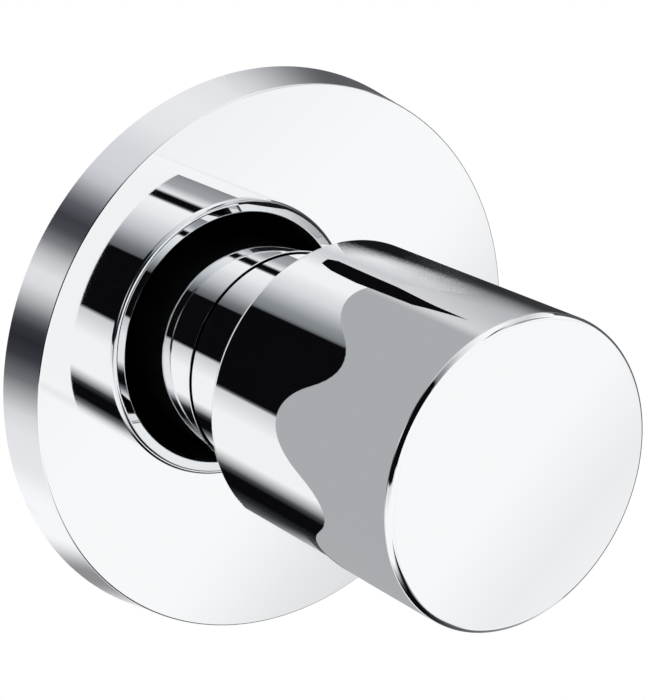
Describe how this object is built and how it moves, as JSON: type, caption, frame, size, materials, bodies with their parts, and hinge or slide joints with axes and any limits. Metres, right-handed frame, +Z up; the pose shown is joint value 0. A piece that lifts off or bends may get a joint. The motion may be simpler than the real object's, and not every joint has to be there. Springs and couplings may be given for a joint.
{
  "type": "concealed stop valve",
  "caption": "Wall-mounted concealed stop valve with a round escutcheon, short neck, smooth round handle and a turning headwork whose piston slides on its seat.",
  "frame": {"origin": "on the valve axis in the wall plane, where the rim of the escutcheon rests", "axes": "+Y along the valve axis into the wall, -Y towards the room, +Z up"},
  "size_m": [0.08, 0.0989, 0.08],
  "materials": {
    "chrome_plate": "polished",
    "brass": "turned",
    "stainless_steel": "machined",
    "black_rubber": "moulded",
    "foam_rubber": "closed-cell foam",
    "fibre_gasket": "pressed fibre",
    "moulded_plastic": "moulded",
    "slide_plastic": "smooth"
  },
  "bodies": {
    "wall_set": {"rosette": "chrome_plate", "rosette_seal": "foam_rubber", "rosette_o_ring": "black_rubber", "sleeve": "chrome_plate", "sleeve_adapter": "brass", "sleeve_o_ring_front": "black_rubber", "sleeve_o_ring_rear": "black_rubber", "bonnet": "brass", "bonnet_gasket": "fibre_gasket"},
    "handle": {"handle": "chrome_plate", "handle_insert": "moulded_plastic", "grub_screw": "stainless_steel", "spindle_extension": "brass", "extension_screw": "stainless_steel", "spindle": "brass", "spindle_o_ring_front": "black_rubber", "spindle_o_ring_rear": "black_rubber", "thrust_washer": "slide_plastic", "retaining_clip": "stainless_steel"},
    "piston": {"piston": "brass", "piston_o_ring": "black_rubber", "valve_washer": "black_rubber", "washer_screw": "stainless_steel"}
  },
  "joints": [
    {"name": "handle_turn", "type": "hinge", "parent": "wall_set", "child": "handle", "pos_m": [0, 0, 0], "axis": [0, -1, 0], "range_deg": [0, 900]},
    {"name": "piston_slide", "type": "slide", "parent": "wall_set", "child": "piston", "axis": [0, -1, 0], "range_m": [0, 0.0061]}
  ],
  "couplings": [
    {"joint": "piston_slide", "follows": "handle_turn", "m_per_rad": 0.00038197}
  ]
}
